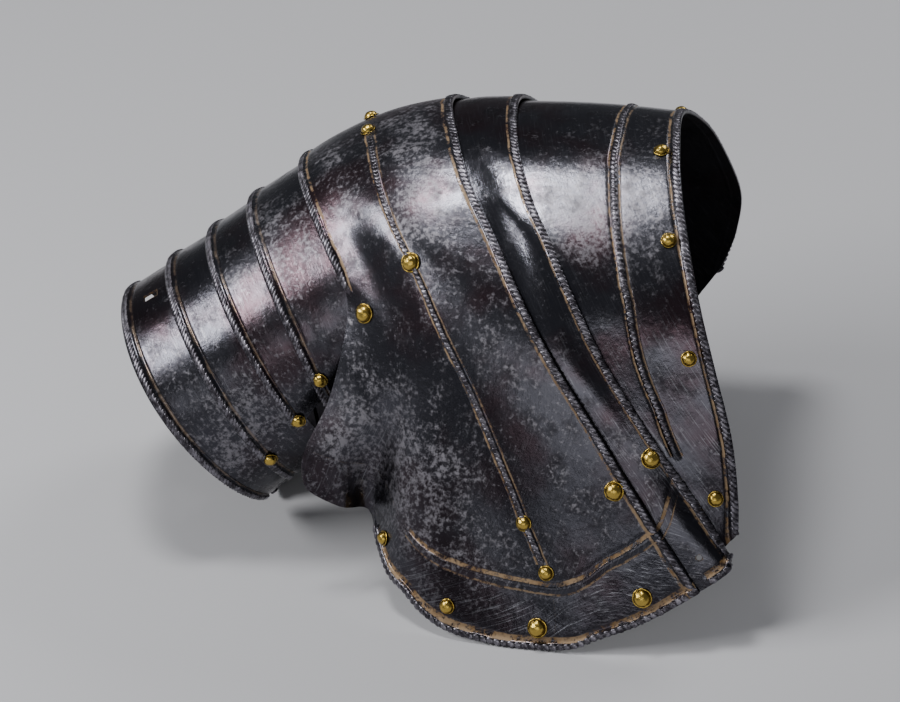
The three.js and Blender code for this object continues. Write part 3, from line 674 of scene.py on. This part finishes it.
# ---------------------------------------------------------------- neck lames
# Two lames that carry the shoulder plate on towards the neck, each tucked under the one
# before. Their neck edges are turned and roped, a second cord is embossed across the last
# one, and the first has a small hole at its lower corner.
# the second cord: its stations, and u at each
NECK_CORD = ([0.0, 0.8, 1.58, 3.94, 5.61, 6.3], [7.68, 7.66, 7.62, 7.48, 7.30, 7.16])
HOLE_U, HOLE_V, HOLE_RADIUS = 6.17, 7.6, 0.0015
NECK_WORN = {
    "neck_lame_1": [(6.5, 6.3, 0.6, 0.8, 0.4)],
    "neck_lame_2": [(7.35, 2.4, 0.4, 1.1, 1.5), (7.8, 1.5, 0.3, 1.5, 0.7)],
}
for name, edge, last in [("neck_lame_1", 7, 8.0), ("neck_lame_2", 8, 7.75)]:
    tucked, lapped = edge - 1 - LAP, edge - 1
    columns = station_columns(last)
    count = len(columns)
    hidden_side = np.full((1, count), tucked)
    neck_side = np.stack([off_edge(edge, columns, -d) for d in EDGE_ROWS[::-1]])
    neck_side[-1] = edge
    if name == "neck_lame_2":
        line_u = np.interp(np.abs(columns), *NECK_CORD)
        line_per_unit = reach_along(collar, line_u, columns)
        cord_side = np.stack([line_u + d / line_per_unit for d in CORD_ROWS])
        cord_side = np.minimum(cord_side, neck_side[0] - 0.01)
        u = blend_rows([hidden_side, cord_side, neck_side], [22, 6])
    else:
        u = blend_rows([hidden_side, neck_side], [40])
    v = np.repeat(columns[None, :], len(u), 0)
    to_edge = (edge - u) * reach_along(collar, np.full_like(v, edge - 0.02), v)
    height = turned_edge(to_edge)
    to_cord = np.full_like(u, FAR_OFF)
    to_hem = np.full_like(u, FAR_OFF)
    to_trim = np.full_like(u, FAR_OFF)
    if name == "neck_lame_2":
        cord_on = soft_ends(np.abs(v), -1, 6.3)
        to_cord = np.where(cord_on > 0.3, (u - line_u) * line_per_unit, FAR_OFF)
        height += cord_on * (hump(to_cord, 0, 1.9, 0.9) + groove(to_cord, -2.6, 0.8, 0.35)
                             + groove(to_cord, 2.7, 0.8, 0.35)) * (u < neck_side[0])
    else:
        hem_on = np.clip((u - lapped - 0.06) / 0.05, 0, 1) * (v > 6)
        to_hem = np.where(hem_on > 0.5, (8 - v) * reach_across(collar, u, np.full_like(v, 7.95)),
                          FAR_OFF)
        height = np.maximum(height, hem_on * hump(to_hem, *HEM_ROLL))
        height += hem_on * groove(to_hem, *HEM_LINE)
        trim_v = TRIM_V - (u - 6) * 0.64
        to_trim = np.where(u > 5.98, (v - trim_v) * reach_across(collar, u, v), FAR_OFF)
        height += (u > 5.98) * groove(to_trim, *TRIM_TOP)
    sunk = STEP * np.abs(edge - u)
    lame = plate_mesh(name + "_skin", collar, u, v, height, sunk, {
        "from_edge": to_edge, "from_cord": to_cord, "from_hem": to_hem, "from_trim": to_trim,
        "worn": blobs(u, v, NECK_WORN[name]), "brushed": 0.55, "lined": 0.9}, swap=True)
    if name == "neck_lame_1":
        middle = collar(HOLE_U, HOLE_V)
        out = outward(collar, np.array(HOLE_U), np.array(HOLE_V))
        bpy.ops.mesh.primitive_cylinder_add(radius=HOLE_RADIUS, depth=0.014, vertices=24)
        turn = Vector((0, 0, 1)).rotation_difference(Vector(out)).to_matrix()
        whole = (REST_TURN @ turn).to_4x4()
        cut_through(lame, bpy.context.object, Matrix.Translation(Vector(at_rest(middle))) @ whole)
    dress(lame, name)
    stations = np.linspace(-5.95, last - 0.12, 900)
    middle_u = off_edge(edge, stations, np.full(900, -ROLL_MIDDLE))
    rope(name + "_roping", collar, middle_u, stations,
         ROLL_HEIGHT - STRAND_SUNK - STEP * np.abs(edge - middle_u),
         pitch=2.7, reach=2.9, rise=0.5, slant=-0.9)
    if name == "neck_lame_2":
        for side, low, high in [("near", 0.0, 6.05), ("far", -5.6, -0.02)]:
            stations = np.linspace(low, high, 500)
            line_u = np.interp(np.abs(stations), *NECK_CORD)
            rope("neck_cord_roping_" + side, collar, line_u, stations,
                 0.65 - STEP * np.abs(edge - line_u),
                 pitch=2.8, reach=2.0, rise=0.42, slant=-0.8)
    else:
        hem_u = np.linspace(6.12, 6.96, 200)
        hem_v = 8 - HEM_ROPE_IN / reach_across(collar, hem_u, np.full(200, 7.95))
        rope("neck_hem_roping", collar, hem_u, hem_v, 0.9 - STEP * np.abs(edge - hem_u),
             pitch=3.6, reach=2.1, rise=0.4, slant=1.0)

# ---------------------------------------------------------------- rivets
# Brass rivets: a domed head on a turned washer, hammered cold, so each head is a little
# dented and its washer holds dark wax. The big ones are pivots, the small ones hold leathers.
BIG, SMALL = 4.2, 3.3  # radius of the head
RIVETS = [  # name, plate it stands on, u, station or angle, radius of the head
    ("neck_pivot_1_near", "main_plate", 5.79, 6.53, BIG),
    ("neck_pivot_1_far", "main_plate", 5.79, -5.3, BIG),
    ("neck_pivot_2_near", "neck_lame_1", 6.7, 6.22, BIG),
    ("neck_pivot_2_far", "neck_lame_1", 6.7, -5.2, BIG),
    ("arm_pivot_1_near", "main_plate", 4.13, 4.88, BIG),
    ("arm_pivot_1_far", "main_plate", 4.13, -4.88, BIG),
    ("crest_rivet_1", "main_plate", 4.96, 0.52, SMALL),
    ("crest_rivet_2", "main_plate", 4.93, -0.12, SMALL),
    ("cord_rivet_1", "main_plate", 5.04, 3.63, BIG),
    ("cord_rivet_2", "main_plate", 5.03, 6.62, SMALL),
    ("cord_rivet_3", "main_plate", 5.05, 6.93, SMALL),
    ("cord_rivet_4", "main_plate", 5.04, -3.63, BIG),
    ("wing_rivet_1", "main_plate", 4.45, 7.7, SMALL),
    ("wing_rivet_2", "main_plate", 4.77, 7.61, SMALL),
    ("wing_rivet_3", "main_plate", 4.99, 7.58, BIG),
    ("wing_rivet_4", "main_plate", 5.68, 7.65, BIG),
    ("wing_rivet_5", "main_plate", 4.5, -5.6, SMALL),
    ("wing_rivet_6", "main_plate", 5.1, -5.6, SMALL),
    ("neck_rivet_1", "neck_lame_2", 7.9, 1.07, SMALL),
    ("neck_rivet_2", "neck_lame_2", 7.88, 2.7, SMALL),
    ("neck_rivet_3", "neck_lame_2", 7.81, 4.88, SMALL),
    ("neck_rivet_4", "neck_lame_2", 7.41, 6.87, SMALL),
    ("neck_rivet_5", "neck_lame_2", 7.92, -0.49, SMALL),
    ("neck_rivet_6", "neck_lame_2", 7.88, -2.2, SMALL),
    ("neck_rivet_7", "neck_lame_2", 7.84, -3.8, SMALL),
]
for number, u0, angle in [(2, 3.16, 111), (3, 2.16, 123), (4, 1.16, 136)]:
    for side, sign in [("near", -1), ("far", 1)]:
        RIVETS.append((f"arm_pivot_{number}_{side}", f"arm_lame_{number - 1}",
                       u0, sign * angle, SMALL))
OWN_EDGE = {"main_plate": None, "neck_lame_1": 7, "neck_lame_2": 8, "arm_lame_1": 3,
            "arm_lame_2": 2, "arm_lame_3": 1}


def worn_brass():
    """Yellow brass, cast and filed: warm mirror with soft dents of 2.4 mm and brown wax in its
    corners."""
    material = bpy.data.materials.new("worn_yellow_brass")
    material.use_nodes = True
    tree = material.node_tree
    tree.nodes.clear()
    place = add(tree, "ShaderNodeTexCoord").outputs["Object"]
    grime = add(tree, "ShaderNodeTexNoise",
                {"Vector": place, "Scale": 420.0, "Detail": 4.0, "Roughness": 0.6})
    corner = add(tree, "ShaderNodeAttribute", attribute_name="corner").outputs["Fac"]
    dirt = add(tree, MATH, {0: grime, 1: corner}, operation="ADD")
    share = add(tree, RANGE, {0: dirt, 1: 0.6, 2: 1.05}, interpolation_type="SMOOTHSTEP")
    tint = add(tree, MIX, {SHARE: share, UNDER: hue("#b89c4c"), OVER: hue("#3a2b10")},
               data_type="RGBA")
    bump = add(tree, "ShaderNodeBump", {"Strength": 0.5, "Distance": 0.0006, "Height": grime})
    shader = add(tree, "ShaderNodeBsdfPrincipled", {
        "Base Color": tint, "Metallic": 1.0, "Roughness": 0.27, "Normal": bump})
    add(tree, "ShaderNodeOutputMaterial", {"Surface": shader})
    return material


BRASS = worn_brass()


SHANK_END = -0.35  # the shank stops inside the plates


def rivet_head():
    """One head and washer of radius 1, turned about Z, with how deep in a corner each point is."""
    profile = [(0.38, SHANK_END, 0.3), (0.38, -0.05, 0.3), (1.16, -0.02, 0.6), (1.22, 0.03, 0.4),
               (1.22, 0.1, 0.2), (1.17, 0.15, 0.2), (1.1, 0.16, 0.3), (1.04, 0.14, 0.6),
               (1.0, 0.17, 0.6), (0.99, 0.27, 0.2), (0.94, 0.44, 0.0), (0.83, 0.62, 0.0),
               (0.66, 0.77, 0.0), (0.44, 0.88, 0.0), (0.22, 0.94, 0.0)]
    sides = 28
    points, corner = [], []
    for radius, height, deep in profile:
        for k in range(sides):
            angle = 2 * math.pi * k / sides
            points.append((radius * math.cos(angle), radius * math.sin(angle), height))
            corner.append(deep)
    points += [(0, 0, 0.96), (0, 0, SHANK_END)]
    corner += [0.0, 0.3]
    top, bottom = len(points) - 2, len(points) - 1
    faces = []
    for ring in range(len(profile) - 1):
        for k in range(sides):
            a, b = ring * sides + k, ring * sides + (k + 1) % sides
            faces.append((a, b, b + sides, a + sides))
    start = (len(profile) - 1) * sides
    for k in range(sides):
        faces.append((start + k, start + (k + 1) % sides, top))
        faces.append(((k + 1) % sides, k, bottom))
    mesh = bpy.data.meshes.new("rivet_head")
    mesh.from_pydata(points, [], faces)
    mesh.attributes.new("corner", "FLOAT", "POINT").data.foreach_set("value", corner)
    return bpy.data.objects.new("rivet_head", mesh)


def rivet_tree():
    """A head on each point, stood along its normal, sized, spun and dented at random."""
    tree = bpy.data.node_groups.new("riveting", "GeometryNodeTree")
    face = tree.interface
    face.new_socket("Seats", in_out="INPUT", socket_type="NodeSocketGeometry")
    face.new_socket("Head", in_out="INPUT", socket_type="NodeSocketObject")
    face.new_socket("Dent", in_out="INPUT", socket_type="NodeSocketFloat").default_value = 0.0004
    face.new_socket("Rivets", in_out="OUTPUT", socket_type="NodeSocketGeometry")
    given = add(tree, "NodeGroupInput").outputs
    head = add(tree, "GeometryNodeObjectInfo", {"Object": given["Head"]})
    out = add(tree, "GeometryNodeInputNamedAttribute", {"Name": "out"}, data_type="FLOAT_VECTOR")
    size = add(tree, "GeometryNodeInputNamedAttribute", {"Name": "size"}, data_type="FLOAT")
    stand = add(tree, "FunctionNodeAlignRotationToVector",
                {"Vector": out.outputs["Attribute"]}, axis="Z")
    spin = add(tree, "FunctionNodeRandomValue", {2: 0.0, 3: 6.28, "Seed": 7}, data_type="FLOAT")
    about = add(tree, "FunctionNodeAxisAngleToRotation",
                {"Axis": (0.0, 0.0, 1.0), "Angle": spin.outputs[1]})
    turned = add(tree, "FunctionNodeRotateRotation", {
        "Rotation": stand, "Rotate By": about}, rotation_space="LOCAL")
    placed = add(tree, "GeometryNodeInstanceOnPoints", {
        "Points": given["Seats"], "Instance": head.outputs["Geometry"],
        "Rotation": turned, "Scale": size.outputs["Attribute"]})
    real = add(tree, "GeometryNodeRealizeInstances", {0: placed})
    noise = add(tree, "ShaderNodeTexNoise", {"Scale": 330.0, "Detail": 1.0})
    centred = add(tree, "ShaderNodeVectorMath", {0: noise.outputs["Color"], 1: (0.5, 0.5, 0.5)},
                  operation="SUBTRACT")
    shift = add(tree, "ShaderNodeVectorMath", {0: centred, "Scale": given["Dent"]},
                operation="SCALE")
    dented = add(tree, "GeometryNodeSetPosition", {0: real, "Offset": shift})
    smooth = add(tree, "GeometryNodeSetShadeSmooth", {0: dented})
    finish = add(tree, "GeometryNodeSetMaterial", {0: smooth, "Material": BRASS})
    add(tree, "NodeGroupOutput", {"Rivets": finish})
    return tree


seats, normals, sizes = [], [], []
for name, plate, u0, v0, radius in RIVETS:
    surface = arm_tube if plate.startswith("arm") else collar
    place, out = surface(u0, v0), outward(surface, np.array(u0), np.array(float(v0)))
    edge = OWN_EDGE[plate]
    depth = 0 if edge is None else STEP * abs(edge - u0)
    seats.append(at_rest(place - out * (depth - 0.3)))
    normals.append(np.array(REST_TURN) @ out)
    sizes.append(radius / 1000)
mesh = bpy.data.meshes.new("seats")
mesh.from_pydata([tuple(p) for p in seats], [], [])
mesh.attributes.new("out", "FLOAT_VECTOR", "POINT").data.foreach_set(
    "vector", np.array(normals, np.float32).ravel())
mesh.attributes.new("size", "FLOAT", "POINT").data.foreach_set("value", sizes)
head = rivet_head()
rivets = grown("rivets", bpy.data.objects.new("seats", mesh), rivet_tree(),
               {"Head": head, "Dent": 0.0007})
bpy.data.objects.remove(head)
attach(rivets, "root")
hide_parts(*[row[0] for row in RIVETS])

# ---------------------------------------------------------------- floor, light and camera
# A plain pale floor, soft boxes high on both sides, and a long lens looking down on the
# large wing's side.
floor_mesh = bpy.data.meshes.new("floor")
floor_mesh.from_pydata([(-6, -6, 0), (6, -6, 0), (6, 6, 0), (-6, 6, 0)], [], [(0, 1, 2, 3)])
floor = bpy.data.objects.new("floor", floor_mesh)
bpy.context.scene.collection.objects.link(floor)
plain = bpy.data.materials.new("matt_pale_grey_paint")
plain.use_nodes = True
plain_shader = plain.node_tree.nodes["Principled BSDF"]
plain_shader.inputs["Base Color"].default_value = hue("#b9b9bc")
plain_shader.inputs["Roughness"].default_value = 0.85
floor_mesh.materials.append(plain)

AZIMUTH, ELEVATION = math.radians(12), math.radians(10)
back = Vector((math.sin(AZIMUTH) * math.cos(ELEVATION), -math.cos(AZIMUTH) * math.cos(ELEVATION),
               math.sin(ELEVATION)))
right = Vector((math.cos(AZIMUTH), math.sin(AZIMUTH), 0))
up = back.cross(right)
aim = Vector(at_rest(right * -3.5 + up * -129))
DISTANCE, FIELD = 6.0, 0.45  # how far off the camera stands and the width it sees, metres
lens = bpy.data.cameras.new("camera")
lens.sensor_width = 36
lens.lens = 36 * DISTANCE / FIELD
camera = bpy.data.objects.new("camera", lens)
facing = Matrix((REST_TURN @ right, REST_TURN @ up, REST_TURN @ back)).transposed()
camera.matrix_world = Matrix.Translation(aim + (REST_TURN @ back) * DISTANCE) @ facing.to_4x4()
bpy.context.scene.collection.objects.link(camera)
bpy.context.scene.camera = camera

world = bpy.data.worlds.new("studio")
world.use_nodes = True
world.node_tree.nodes["Background"].inputs["Color"].default_value = hue("#c9ccd4")
world.node_tree.nodes["Background"].inputs["Strength"].default_value = 0.2
bpy.context.scene.world = world


def soft_box(name, place, target, wide, tall, power):
    """Rectangular light that faces a point."""
    light = bpy.data.lights.new(name, "AREA")
    light.shape = "RECTANGLE"
    light.size, light.size_y, light.energy = wide, tall, power
    box = bpy.data.objects.new(name, light)
    box.location = place
    box.rotation_euler = (Vector(target) - Vector(place)).to_track_quat("-Z", "Y").to_euler()
    bpy.context.scene.collection.objects.link(box)


soft_box("overhead", (-0.2, 0.12, 1.35), (0.03, 0.0, 0.18), 0.27, 0.27, 9)
soft_box("arm_side", (-1.05, -0.42, 0.88), (-0.1, -0.03, 0.12), 0.8, 0.34, 16)
soft_box("behind", (0.75, 1.0, 1.15), (0.0, 0.05, 0.1), 0.7, 0.5, 8)
soft_box("front", (0.1, -2.0, 0.7), (0.0, 0.0, 0.1), 1.8, 0.9, 9)
